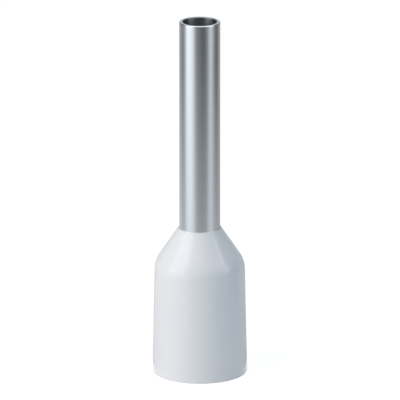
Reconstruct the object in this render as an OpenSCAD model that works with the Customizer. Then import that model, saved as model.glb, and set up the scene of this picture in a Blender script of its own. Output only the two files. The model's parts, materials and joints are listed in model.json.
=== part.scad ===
// Insulated wire ferrule: a thin drawn metal tube, belled at its lower end, seated in the funnel
// of a moulded collar. It stands on the collar's mouth, with +Z along the axis to the tube's tip.

/* [Metal tube] */
// Diameter of the bore that takes the bare strands
tube_bore = 1.24; // [0.9:0.02:1.6]
// Thickness of the drawn wall
tube_wall = 0.13; // [0.12:0.01:0.2]
// Length of bare tube that stands out of the collar
pin_length = 7.8; // [5:0.1:18]
// Rounding of both edges of the cut tip
tip_round = 0.03; // [0.02:0.005:0.055]
// Bend radius where the tube turns out into its bell, on the side that faces the collar
bell_bend = 0.15; // [0.05:0.05:0.3]
// Rounding of both edges of the bell's rim
bell_round = 0.03; // [0.01:0.01:0.05]

/* [Insulating collar] */
// Diameter of the bore that takes the wire's insulation
insulation_bore = 2.8; // [2.4:0.1:4]
// Height of the collar, from its mouth to its lip
collar_height = 5.5; // [5:0.1:8]
// Height at which the body meets the cone
shoulder_height = 4.2; // [3:0.1:4.8]
// Wall at the mouth
mouth_wall = 0.35; // [0.28:0.01:0.5]
// Wall at the shoulder, less than at the mouth because the outside is drafted
shoulder_wall = 0.26; // [0.2:0.01:0.35]
// Wall of the cone, square to its surface
cone_wall = 0.3; // [0.2:0.01:0.4]
// Rounding of the shoulder
shoulder_round = 1; // [0.2:0.1:2]
// Rounding of the mouth's outer edge
foot_round = 0.03; // [0.02:0.01:0.1]
// Width of the flat lip round the tube
lip_width = 0.035; // [0.02:0.005:0.1]
// Rounding of the lip's outer edge
lip_round = 0.02; // [0.005:0.005:0.03]
// Rounding of the corner between the insulation bore and the funnel
funnel_round = 0.2; // [0.05:0.05:0.4]
// Width by which the lead-in opens the mouth
lead_in_width = 0.12; // [0.05:0.01:0.15]
// Depth of the lead-in
lead_in_depth = 0.25; // [0.1:0.05:0.5]

/* [Fit] */
// Gap between the tube and the collar's neck and funnel, a light push fit
seat_gap = 0.005; // [0:0.005:0.02]
// Ledge of funnel left between the bell's rim and the insulation bore
bell_ledge = 0.12; // [0.05:0.01:0.2]

/* [Smoothness] */
// Sides of a full turn
turn_sides = 128; // [32:8:256]
// Furthest that a rounding's facets may lie from the true arc
arc_error = 0.0005; // [0.0002:0.0001:0.002]

/* [Hidden] */

// Radii of the tube
tube_in_r = tube_bore / 2;
tube_out_r = tube_in_r + tube_wall;

// Radii of the collar, from the inside out
neck_r = tube_out_r + seat_gap;
lip_r = neck_r + lip_width;
bore_r = insulation_bore / 2;
bell_r = bore_r - bell_ledge;
shoulder_r = bore_r + shoulder_wall;
mouth_r = bore_r + mouth_wall;

// Half angle of the cone, which the funnel and the bell share, and the direction square to it
cone_angle = atan2(shoulder_r - lip_r, collar_height - shoulder_height);
cone_normal = [cos(cone_angle), sin(cone_angle)];

// How deep the funnel and the bell's two faces lie under the cone
funnel_depth = cone_wall;
bell_outer_depth = funnel_depth + seat_gap;
bell_inner_depth = bell_outer_depth + tube_wall;

// Height at radius r of the surface that lies the given depth under the cone
function under_cone(r, depth) =
    collar_height - (r - lip_r) / tan(cone_angle) - depth / sin(cone_angle);

// Unit vector from one point to another
function toward(from, to) = (to - from) / norm(to - from);

// Vector v turned by an angle
function turned(v, angle) =
    [v.x * cos(angle) - v.y * sin(angle), v.x * sin(angle) + v.y * cos(angle)];

// One corner of an outline: a sharp point, or an arc of radius r that meets both sides smoothly
function corner_arc(before, corner, after, r) =
    r == 0 ? [corner] :
    let (
        back = toward(corner, before),
        ahead = toward(corner, after),
        half_angle = acos(back * ahead) / 2,
        centre = corner + toward([0, 0], back + ahead) * r / sin(half_angle),
        arm = corner + back * r / tan(half_angle) - centre,
        sweep = (180 - 2 * half_angle) * sign(cross(ahead, back)),
        steps = ceil(abs(sweep) / (2 * acos(1 - arc_error / r)))
    )
    [for (i = [0:steps]) centre + turned(arm, sweep * i / steps)];

// Closed outline through the given corners, each [point, rounding]
module rounded_outline(corners) {
    count = len(corners);
    polygon([
        for (i = [0:count - 1])
            each corner_arc(
                corners[(i + count - 1) % count][0], corners[i][0],
                corners[(i + 1) % count][0], corners[i][1]
            )
    ]);
}

// Straight drawn tube whose lower end is belled to the angle of the funnel
module contact_tube() {
    tip_z = collar_height + pin_length;
    rim = [bell_r, under_cone(bell_r, bell_outer_depth)];
    color([0.78, 0.8, 0.82])
        rotate_extrude($fn = turn_sides)
            rounded_outline([
                [[tube_in_r, tip_z], tip_round],
                [[tube_out_r, tip_z], tip_round],
                [[tube_out_r, under_cone(tube_out_r, bell_outer_depth)], bell_bend],
                [rim, bell_round],
                [rim - tube_wall * cone_normal, bell_round],
                [[tube_in_r, under_cone(tube_in_r, bell_inner_depth)], bell_bend + tube_wall],
            ]);
}

// Moulded collar: drafted body, rounded shoulder and cone outside; lead-in, bore, funnel and neck inside
module insulating_collar() {
    color([0.88, 0.89, 0.91])
        rotate_extrude($fn = turn_sides)
            rounded_outline([
                [[mouth_r, 0], foot_round],
                [[shoulder_r, shoulder_height], shoulder_round],
                [[lip_r, collar_height], lip_round],
                [[neck_r, collar_height], 0],
                [[neck_r, under_cone(neck_r, funnel_depth)], bell_bend - seat_gap],
                [[bore_r, under_cone(bore_r, funnel_depth)], funnel_round],
                [[bore_r, lead_in_depth], 0],
                [[bore_r + lead_in_width, 0], 0],
            ]);
}

contact_tube();
insulating_collar();
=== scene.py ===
"""Looks of the insulated wire ferrule: a tinned tube in a moulded collar, stood up in a small photo studio."""

import json
import math

import bpy
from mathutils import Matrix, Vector

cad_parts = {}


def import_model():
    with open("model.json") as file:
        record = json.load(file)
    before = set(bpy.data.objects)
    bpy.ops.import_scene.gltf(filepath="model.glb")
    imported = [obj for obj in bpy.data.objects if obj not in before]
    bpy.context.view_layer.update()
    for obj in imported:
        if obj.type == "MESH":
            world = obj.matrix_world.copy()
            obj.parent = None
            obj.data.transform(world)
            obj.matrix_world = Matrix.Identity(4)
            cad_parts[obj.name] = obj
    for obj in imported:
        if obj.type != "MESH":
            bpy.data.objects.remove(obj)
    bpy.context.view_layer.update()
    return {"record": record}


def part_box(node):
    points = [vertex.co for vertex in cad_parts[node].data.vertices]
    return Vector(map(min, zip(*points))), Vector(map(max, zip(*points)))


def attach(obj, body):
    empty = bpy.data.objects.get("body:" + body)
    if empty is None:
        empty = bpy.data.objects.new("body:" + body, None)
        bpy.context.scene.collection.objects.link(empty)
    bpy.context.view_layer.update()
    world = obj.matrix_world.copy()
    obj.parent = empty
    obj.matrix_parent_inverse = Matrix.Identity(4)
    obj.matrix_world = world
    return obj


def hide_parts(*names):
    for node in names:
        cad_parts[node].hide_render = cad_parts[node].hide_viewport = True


MM = 0.001

# ---------------------------------------------------------------- sizes, from the frame

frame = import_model()
mounts = {m["name"]: m["dims"] for m in frame["record"]["mounts"]}
tube_low, tube_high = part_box("contact_tube")
collar_low, collar_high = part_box("insulating_collar")

# Millimetres from here on, as in the part's own source
TIP_Z = tube_high.z / MM
LIP_Z = collar_high.z / MM
TUBE_IN_R = mounts["conductor_bore"]["r_mm"]
TUBE_OUT_R = mounts["terminal_pin"]["r_mm"]
BORE_R = mounts["insulation_bore"]["r_mm"]
TIP_ROUND = 0.03
BELL_BEND = 0.15
BELL_ROUND = 0.03
BELL_LEDGE = 0.12
SHOULDER_Z = 4.2
SHOULDER_WALL = 0.26
MOUTH_WALL = 0.35
CONE_WALL = 0.3
SHOULDER_ROUND = 1.0
FOOT_ROUND = 0.03
LIP_WIDTH = 0.035
LIP_ROUND = 0.02
FUNNEL_ROUND = 0.2
LEAD_IN_WIDTH = 0.12
LEAD_IN_DEPTH = 0.25
SEAT_GAP = 0.005

TUBE_WALL = TUBE_OUT_R - TUBE_IN_R
NECK_R = TUBE_OUT_R + SEAT_GAP
LIP_R = NECK_R + LIP_WIDTH
SHOULDER_R = BORE_R + SHOULDER_WALL
MOUTH_R = BORE_R + MOUTH_WALL
CONE_ANGLE = math.atan2(SHOULDER_R - LIP_R, LIP_Z - SHOULDER_Z)

# Mesh fineness
TURN_SIDES = 256
ARC_STEP = math.radians(4)
EDGE_RING = 0.02
SHARP_ANGLE = math.radians(15)


# ---------------------------------------------------------------- meshes of revolution


def under_cone(r, depth):
    """Height at radius r of the surface that lies depth under the collar's cone."""
    return LIP_Z - (r - LIP_R) / math.tan(CONE_ANGLE) - depth / math.sin(CONE_ANGLE)


def corner_arc(before, corner, after, radius):
    """The corner itself, or an arc that meets both of its sides smoothly."""
    if radius == 0:
        return [corner]
    back = (before - corner).normalized()
    ahead = (after - corner).normalized()
    half_angle = back.angle(ahead) / 2
    centre = corner + (back + ahead).normalized() * radius / math.sin(half_angle)
    arm = corner + back * radius / math.tan(half_angle) - centre
    turn = (ahead.x * back.y - ahead.y * back.x > 0) * 2 - 1
    sweep = (math.pi - 2 * half_angle) * turn
    steps = math.ceil(abs(sweep) / ARC_STEP)
    points = []
    for i in range(steps + 1):
        angle = sweep * i / steps
        turned = Vector((
            arm.x * math.cos(angle) - arm.y * math.sin(angle),
            arm.x * math.sin(angle) + arm.y * math.cos(angle),
        ))
        points.append(centre + turned)
    return points


def outline(corners):
    """Closed outline of (radius, height) points through corners given as (r, z, rounding)."""
    points = []
    for i, (r, z, rounding) in enumerate(corners):
        before = Vector(corners[i - 1][:2])
        after = Vector(corners[(i + 1) % len(corners)][:2])
        points += corner_arc(before, Vector((r, z)), after, rounding)
    ringed = []
    for i, point in enumerate(points):
        following = points[(i + 1) % len(points)]
        ringed.append(point)
        length = (following - point).length
        if length > 4 * EDGE_RING:
            # a ring close to each end keeps the long stretch's shading straight
            step = (following - point).normalized() * EDGE_RING
            ringed += [point + step, following - step]
    return ringed


def lathe(name, points, material, cad_node):
    """Revolves an outline about Z into one closed smooth mesh that stands for a CAD node."""
    vertices = []
    for i in range(TURN_SIDES):
        angle = 2 * math.pi * i / TURN_SIDES
        for point in points:
            vertices.append((
                point.x * math.cos(angle) * MM,
                point.x * math.sin(angle) * MM,
                point.y * MM,
            ))
    count = len(points)
    faces = []
    for i in range(TURN_SIDES):
        here, there = i * count, (i + 1) % TURN_SIDES * count
        for k in range(count):
            up = (k + 1) % count
            faces.append((here + k, here + up, there + up, there + k))
    mesh = bpy.data.meshes.new(name)
    mesh.from_pydata(vertices, [], faces)
    mesh.validate()
    mesh.shade_smooth()
    mesh.set_sharp_from_angle(angle=SHARP_ANGLE)
    piece = bpy.data.objects.new(name, mesh)
    bpy.context.scene.collection.objects.link(piece)
    mesh.materials.append(material)
    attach(piece, "root")
    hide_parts(cad_node)
    return piece


# ---------------------------------------------------------------- materials

# A noise value stays mostly between these two
NOISE_SPAN = (0.2, 0.8)

# The tube's bore: a darker colour that is painted shade in the hollow, and its roughness; and the roughness of
# the tip
BORE_PAINTED_SHADE = (0.3, 0.315, 0.335)
BORE_ROUGHNESS = 0.42
TIP_ROUGHNESS = 0.12


def new_material(name):
    """A node material with an empty Principled shader, its tree and the shader."""
    material = bpy.data.materials.new(name)
    material.use_nodes = True
    tree = material.node_tree
    tree.nodes.clear()
    shader = tree.nodes.new("ShaderNodeBsdfPrincipled")
    output = tree.nodes.new("ShaderNodeOutputMaterial")
    tree.links.new(shader.outputs["BSDF"], output.inputs["Surface"])
    return material, tree, shader


def put(tree, value, socket):
    """Links a socket, or sets a plain number or colour."""
    if isinstance(value, bpy.types.NodeSocket):
        tree.links.new(value, socket)
    else:
        socket.default_value = value


def arithmetic(tree, operation, first, second):
    """One arithmetic step on two values, each a socket or a number."""
    made = tree.nodes.new("ShaderNodeMath")
    made.operation = operation
    put(tree, first, made.inputs[0])
    put(tree, second, made.inputs[1])
    return made.outputs["Value"]


def from_to(tree, value, old, new):
    """A value mapped from one range to another, and held at its ends."""
    made = tree.nodes.new("ShaderNodeMapRange")
    put(tree, value, made.inputs["Value"])
    made.inputs["From Min"].default_value, made.inputs["From Max"].default_value = old
    for end, name in zip(new, ("To Min", "To Max")):
        put(tree, end, made.inputs[name])
    return made.outputs["Result"]


def own_place(tree):
    """The piece's own coordinates."""
    return tree.nodes.new("ShaderNodeTexCoord").outputs["Object"]


def height(tree):
    """Height above the floor, in millimetres."""
    split = tree.nodes.new("ShaderNodeSeparateXYZ")
    tree.links.new(own_place(tree), split.inputs["Vector"])
    return arithmetic(tree, "DIVIDE", split.outputs["Z"], MM)


def radius(tree):
    """Distance from the axis, in millimetres."""
    flat = tree.nodes.new("ShaderNodeVectorMath")
    flat.operation = "MULTIPLY"
    tree.links.new(own_place(tree), flat.inputs[0])
    flat.inputs[1].default_value = (1 / MM, 1 / MM, 0)
    length = tree.nodes.new("ShaderNodeVectorMath")
    length.operation = "LENGTH"
    tree.links.new(flat.outputs["Vector"], length.inputs[0])
    return length.outputs["Value"]


def noise(tree, per_mm, detail):
    """Noise over the piece's own coordinates, with its frequency per millimetre along each axis."""
    mapping = tree.nodes.new("ShaderNodeMapping")
    mapping.inputs["Scale"].default_value = [f / MM for f in per_mm]
    tree.links.new(own_place(tree), mapping.inputs["Vector"])
    made = tree.nodes.new("ShaderNodeTexNoise")
    made.inputs["Scale"].default_value = 1
    made.inputs["Detail"].default_value = detail
    tree.links.new(mapping.outputs["Vector"], made.inputs["Vector"])
    return made.outputs["Fac"]


def two_tones(tree, value, first, second):
    """A colour between two, picked by a noise value."""
    ramp = tree.nodes.new("ShaderNodeValToRGB")
    for element, position, color in zip(ramp.color_ramp.elements, NOISE_SPAN, (first, second)):
        element.position = position
        element.color = (*color, 1)
    tree.links.new(value, ramp.inputs["Fac"])
    return ramp.outputs["Color"]


def bumped(tree, value, depth):
    """A normal that a noise value raises by up to a depth in millimetres."""
    bump = tree.nodes.new("ShaderNodeBump")
    bump.inputs["Distance"].default_value = depth * MM
    tree.links.new(value, bump.inputs["Height"])
    return bump.outputs["Normal"]


def tinned_metal():
    """Satin tin plating, with the fine lengthwise lines that drawing leaves in the tube."""
    material, tree, shader = new_material("tinned_metal")
    lines = noise(tree, (9, 9, 0.1), 3)
    clouds = noise(tree, (1.1, 1.1, 0.6), 2)
    shader.inputs["Metallic"].default_value = 1
    shader.inputs["Anisotropic"].default_value = 0.8
    plating = two_tones(tree, lines, (0.75, 0.78, 0.82), (0.83, 0.86, 0.9))
    satin = arithmetic(
        tree, "ADD",
        from_to(tree, lines, NOISE_SPAN, (0.08, 0.13)),
        from_to(tree, clouds, NOISE_SPAN, (0.08, 0.11)),
    )
    # the cutting tool burnishes the tip, and the bore is rougher than the outside, as far as the rounding of
    # its edge; there the plating's colour is also darkened, as painted shade in the hollow of the bore
    outside = from_to(tree, height(tree), (TIP_Z - 0.08, TIP_Z - 0.04), (satin, TIP_ROUGHNESS))
    bore_edge = (TUBE_IN_R + 0.02, TUBE_IN_R + TIP_ROUND)
    out_of_bore = from_to(tree, radius(tree), bore_edge, (0, 1))
    roughness = from_to(tree, out_of_bore, (0, 1), (BORE_ROUGHNESS, outside))
    tree.links.new(roughness, shader.inputs["Roughness"])
    # painted shade: inside the bore the plating colour gives way to a much darker one
    bore_shade = tree.nodes.new("ShaderNodeMix")
    bore_shade.data_type = "RGBA"
    tree.links.new(out_of_bore, bore_shade.inputs[0])
    bore_shade.inputs[6].default_value = (*BORE_PAINTED_SHADE, 1)
    tree.links.new(plating, bore_shade.inputs[7])
    tree.links.new(bore_shade.outputs[2], shader.inputs["Base Color"])
    # reflections spread across the drawing lines outside, and along the axis in the bore
    round_axis = tree.nodes.new("ShaderNodeTangent")
    round_axis.direction_type = "RADIAL"
    round_axis.axis = "Z"
    tangent = tree.nodes.new("ShaderNodeMix")
    tangent.data_type = "VECTOR"
    tree.links.new(out_of_bore, tangent.inputs[0])
    tangent.inputs[4].default_value = (0, 0, 1)
    tree.links.new(round_axis.outputs["Tangent"], tangent.inputs[5])
    tree.links.new(tangent.outputs[1], shader.inputs["Tangent"])
    tree.links.new(bumped(tree, lines, 0.0004), shader.inputs["Normal"])
    return material


def collar_plastic():
    """White polypropylene, semi-gloss and faintly translucent, as it leaves a polished mould."""
    material, tree, shader = new_material("collar_plastic")
    clouds = noise(tree, (0.5, 0.5, 0.35), 1)
    grain = noise(tree, (14, 14, 14), 2)
    shader.inputs["IOR"].default_value = 1.49
    shader.inputs["Subsurface Weight"].default_value = 0.15
    shader.inputs["Subsurface Radius"].default_value = (1, 0.9, 0.8)
    shader.inputs["Subsurface Scale"].default_value = 0.35 * MM
    tones = two_tones(tree, clouds, (0.805, 0.825, 0.855), (0.825, 0.845, 0.87))
    tree.links.new(tones, shader.inputs["Base Color"])
    tree.links.new(from_to(tree, clouds, NOISE_SPAN, (0.08, 0.1)), shader.inputs["Roughness"])
    tree.links.new(bumped(tree, grain, 0.0003), shader.inputs["Normal"])
    return material


# ---------------------------------------------------------------- pieces


def contact_tube():
    """The drawn tube, with its rounded tip and its bell."""
    bell_r = BORE_R - BELL_LEDGE
    outer_depth = CONE_WALL + SEAT_GAP
    inner_depth = outer_depth + TUBE_WALL
    rim_z = under_cone(bell_r, outer_depth)
    corners = [
        (TUBE_IN_R, TIP_Z, TIP_ROUND),
        (TUBE_OUT_R, TIP_Z, TIP_ROUND),
        (TUBE_OUT_R, under_cone(TUBE_OUT_R, outer_depth), BELL_BEND),
        (bell_r, rim_z, BELL_ROUND),
        (
            bell_r - TUBE_WALL * math.cos(CONE_ANGLE),
            rim_z - TUBE_WALL * math.sin(CONE_ANGLE),
            BELL_ROUND,
        ),
        (TUBE_IN_R, under_cone(TUBE_IN_R, inner_depth), BELL_BEND + TUBE_WALL),
    ]
    return lathe("tinned_tube", outline(corners), tinned_metal(), "contact_tube")


def insulating_collar():
    """The moulded collar, from its mouth to its lip, with its bores."""
    corners = [
        (MOUTH_R, 0, FOOT_ROUND),
        (SHOULDER_R, SHOULDER_Z, SHOULDER_ROUND),
        (LIP_R, LIP_Z, LIP_ROUND),
        (NECK_R, LIP_Z, 0),
        (NECK_R, under_cone(NECK_R, CONE_WALL), BELL_BEND - SEAT_GAP),
        (BORE_R, under_cone(BORE_R, CONE_WALL), FUNNEL_ROUND),
        (BORE_R, LEAD_IN_DEPTH, 0),
        (BORE_R + LEAD_IN_WIDTH, 0, 0),
    ]
    return lathe("moulded_collar", outline(corners), collar_plastic(), "insulating_collar")


contact_tube()
insulating_collar()

# ---------------------------------------------------------------- studio

# The camera stands well back, so the view is nearly parallel
CAMERA_DISTANCE = 242
CAMERA_ELEVATION = 16.26
VIEW_WIDTH = 14.68
AIM = (0.008, 0, 6.53)
SENSOR_WIDTH = 36

# What lights the object and the floor: azimuth, elevation, distance, size, radiance, colour.
# Azimuths are from the camera's side, to the right.
LAMPS = {
    "key": (-57, 42, 120, 100, 3.8, (1, 0.9, 0.81)),
    "rim": (130, 15, 120, 70, 2.4, (1, 0.92, 0.8)),
}
AMBIENT = 0.35
AMBIENT_COLOR = (0.78, 1, 1.21)

# What the object's gloss shows: a tent round the object, with a softbox on each side and dark flags
# between them. Each row is an azimuth, and the radiance there at the floor, low down, high up and
# at the top. The tent is seen by reflections only.
TENT_R = 31
TENT_TOP = 41
TENT = [
    (-180, 0.6, 0.5, 0.6, 0.6),
    (-150, 0.65, 0.45, 0.3, 0.3),
    (-135, 0.68, 0.42, 0.1, 0.1),
    (-120, 0.62, 0.24, 0.1, 0.1),
    (-103, 0.55, 0.24, 0.1, 0.1),
    (-94, 0.52, 0.3, 0.2, 0.2),
    (-88, 0.6, 0.5, 1.6, 1.6),
    (-78, 0.8, 1.05, 1.9, 2),
    (-68, 0.86, 1.25, 1.9, 2),
    (-48, 0.86, 1.07, 1.9, 2),
    (-42, 0.84, 1, 1.8, 1.9),
    (-36, 0.76, 0.82, 0.2, 0.2),
    (-24, 0.54, 0.34, 0.1, 0.1),
    (-10, 0.4, 0.18, 0.05, 0.05),
    (18, 0.38, 0.12, 0.05, 0.05),
    (28, 0.4, 0.12, 0.2, 0.1),
    (40, 0.46, 0.2, 0.5, 0.4),
    (48, 0.55, 0.38, 0.8, 0.6),
    (58, 0.7, 0.72, 1.2, 0.8),
    (72, 0.66, 0.68, 2, 0.8),
    (80, 0.56, 0.35, 2.2, 0.8),
    (86, 0.5, 0.24, 0.2, 0.2),
    (98, 0.45, 0.13, 0.1, 0.1),
    (114, 0.43, 0.13, 0.1, 0.1),
    (126, 0.43, 0.3, 0.1, 0.1),
    (140, 0.45, 0.45, 0.15, 0.15),
    (180, 0.6, 0.5, 0.6, 0.6),
]
# The tent's rings, by radius and height, with the shares of the four that each shows and the
# radiance that it adds. The collar's body mirrors the inner floor, the tube the outer floor and
# the foot of the wall, the cone and the shoulder the wall above it, and the rim all of it.
TENT_RINGS = [
    (2.2, 0.01, 1, 0, 0, 0, 0),
    (16.5, 0.01, 1, 0, 0, 0, 0),
    (19, 0.01, 0.91, 0.09, 0, 0, 0),
    (TENT_R, 0.01, 0.47, 0.53, 0, 0, 0),
    (TENT_R, 3.8, 0, 1, 0, 0, 0),
    (TENT_R, 6.5, 0, 1, 0, 0, 0),
    (TENT_R, 8.5, 0, 0, 1, 0, 0),
    (TENT_R, 17.5, 0, 0, 1, 0, 0),
    (TENT_R, 28, 0, 0, 1, 0, 0),
    (TENT_R, 33.3, 0, 0, 0, 1, 0),
    (TENT_R, TENT_TOP, 0, 0, 0, 1, 0.1),
    (13, TENT_TOP, 0, 0, 0, 0, 1.8),
    (2, TENT_TOP, 0, 0, 0, 0, 1.8),
]
TENT_STEP = 3
TENT_COLOR = (0.95, 0.98, 1)

# Half the floor's side, its colour in other light, and what it shows to the camera and to gloss:
# a grey that takes the shadow, with enough light of its own to make white
FLOOR_HALF = 1500
FLOOR_COLOR = (0.8, 0.8, 0.8)
FLOOR_SHADED = (0.2, 0.2, 0.2)
FLOOR_GLOW = 0.9


def toward(azimuth, elevation):
    """Unit vector from the object, by azimuth from the camera's side, to the right, and elevation."""
    a, e = math.radians(azimuth), math.radians(elevation)
    return Vector((math.sin(a) * math.cos(e), -math.cos(a) * math.cos(e), math.sin(e)))


def aim_back(thing, direction):
    """Turns a camera or lamp, whose front is -Z, to look against a direction."""
    thing.rotation_euler = direction.to_track_quat("Z", "Y").to_euler()


def camera():
    """The scene's camera, at the photograph's angle."""
    data = bpy.data.cameras.new("camera")
    data.sensor_width = SENSOR_WIDTH
    data.lens = SENSOR_WIDTH * CAMERA_DISTANCE / VIEW_WIDTH
    data.clip_start = 10 * MM
    data.clip_end = 10
    made = bpy.data.objects.new("camera", data)
    bpy.context.scene.collection.objects.link(made)
    back = toward(0, CAMERA_ELEVATION)
    made.location = (Vector(AIM) + back * CAMERA_DISTANCE) * MM
    aim_back(made, back)
    bpy.context.scene.camera = made


def lamp(name, azimuth, elevation, distance, size, radiance, color):
    """A square softbox that lights surfaces and isn't itself seen or reflected."""
    data = bpy.data.lights.new(name, "AREA")
    data.shape = "SQUARE"
    data.size = size * MM
    data.energy = radiance * math.pi * (size * MM) ** 2
    data.color = color
    made = bpy.data.objects.new(name, data)
    bpy.context.scene.collection.objects.link(made)
    direction = toward(azimuth, elevation)
    made.location = (Vector((0, 0, LIP_Z)) + direction * distance) * MM
    aim_back(made, direction)
    made.visible_camera = False
    made.visible_glossy = False


def stage_mesh(name, vertices, faces, material):
    """A mesh in millimetres that isn't part of the object."""
    mesh = bpy.data.meshes.new(name)
    mesh.from_pydata([Vector(v) * MM for v in vertices], [], faces)
    mesh.materials.append(material)
    made = bpy.data.objects.new(name, mesh)
    bpy.context.scene.collection.objects.link(made)
    return made


def tent():
    """The tent, with its radiance kept at its vertices."""
    material = bpy.data.materials.new("tent")
    material.use_nodes = True
    tree = material.node_tree
    tree.nodes.clear()
    radiance = tree.nodes.new("ShaderNodeAttribute")
    radiance.attribute_name = "radiance"
    emission = tree.nodes.new("ShaderNodeEmission")
    emission.inputs["Color"].default_value = (*TENT_COLOR, 1)
    tree.links.new(radiance.outputs["Fac"], emission.inputs["Strength"])
    output = tree.nodes.new("ShaderNodeOutputMaterial")
    tree.links.new(emission.outputs["Emission"], output.inputs["Surface"])
    columns = 360 // TENT_STEP
    vertices, faces, shown = [], [], []
    for i in range(columns + 1):
        azimuth = i * TENT_STEP - 180
        before = max(row for row in TENT if row[0] <= azimuth)
        after = min(row for row in TENT if row[0] >= azimuth)
        share = (azimuth - before[0]) / max(after[0] - before[0], 1)
        row = [a + (b - a) * share for a, b in zip(before[1:], after[1:])] + [1]
        out = toward(azimuth, 0)
        for r, z, *shares in TENT_RINGS:
            vertices.append((out.x * r, out.y * r, z))
            shown.append(sum(a * b for a, b in zip(row, shares)))
    rings = len(TENT_RINGS)
    for i in range(columns):
        for k in range(rings - 1):
            v = i * rings + k
            faces.append((v, v + rings, v + rings + 1, v + 1))
    made = stage_mesh("tent", vertices, faces, material)
    made.data.attributes.new("radiance", "FLOAT", "POINT").data.foreach_set("value", shown)
    made.visible_camera = False
    made.visible_diffuse = False
    made.visible_shadow = False
    made.visible_transmission = False
    made.visible_volume_scatter = False


def seen_rays(tree):
    """1 for the rays that show the background: the camera's, and those of mirrors and glass."""
    path = tree.nodes.new("ShaderNodeLightPath")
    total = path.outputs["Is Camera Ray"]
    for kind in ("Is Glossy Ray", "Is Transmission Ray"):
        either = tree.nodes.new("ShaderNodeMath")
        either.operation = "MAXIMUM"
        tree.links.new(total, either.inputs[0])
        tree.links.new(path.outputs[kind], either.inputs[1])
        total = either.outputs["Value"]
    return total


def floor():
    """A white floor that keeps the object's shadow."""
    material = bpy.data.materials.new("floor")
    material.use_nodes = True
    tree = material.node_tree
    tree.nodes.clear()
    lit = tree.nodes.new("ShaderNodeBsdfDiffuse")
    lit.inputs["Color"].default_value = (*FLOOR_COLOR, 1)
    shaded = tree.nodes.new("ShaderNodeBsdfDiffuse")
    shaded.inputs["Color"].default_value = (*FLOOR_SHADED, 1)
    glow = tree.nodes.new("ShaderNodeEmission")
    glow.inputs["Strength"].default_value = FLOOR_GLOW
    seen = tree.nodes.new("ShaderNodeAddShader")
    tree.links.new(shaded.outputs["BSDF"], seen.inputs[0])
    tree.links.new(glow.outputs["Emission"], seen.inputs[1])
    mixed = tree.nodes.new("ShaderNodeMixShader")
    tree.links.new(seen_rays(tree), mixed.inputs[0])
    tree.links.new(lit.outputs["BSDF"], mixed.inputs[1])
    tree.links.new(seen.outputs["Shader"], mixed.inputs[2])
    output = tree.nodes.new("ShaderNodeOutputMaterial")
    tree.links.new(mixed.outputs["Shader"], output.inputs["Surface"])
    corners = [(x * FLOOR_HALF, y * FLOOR_HALF, 0) for x, y in ((-1, -1), (1, -1), (1, 1), (-1, 1))]
    stage_mesh("floor", corners, [(0, 1, 2, 3)], material)


def world():
    """White where it is seen, and a soft ambient light elsewhere."""
    made = bpy.data.worlds.new("world")
    bpy.context.scene.world = made
    made.use_nodes = True
    tree = made.node_tree
    tree.nodes.clear()
    ambient = tree.nodes.new("ShaderNodeBackground")
    ambient.inputs["Color"].default_value = (*AMBIENT_COLOR, 1)
    ambient.inputs["Strength"].default_value = AMBIENT
    white = tree.nodes.new("ShaderNodeBackground")
    white.inputs["Color"].default_value = (1, 1, 1, 1)
    mixed = tree.nodes.new("ShaderNodeMixShader")
    tree.links.new(seen_rays(tree), mixed.inputs[0])
    tree.links.new(ambient.outputs["Background"], mixed.inputs[1])
    tree.links.new(white.outputs["Background"], mixed.inputs[2])
    output = tree.nodes.new("ShaderNodeOutputWorld")
    tree.links.new(mixed.outputs["Shader"], output.inputs["Surface"])


camera()
floor()
world()
for name, settings in LAMPS.items():
    lamp(name, *settings)
tent()

bpy.context.scene.view_settings.view_transform = "Standard"
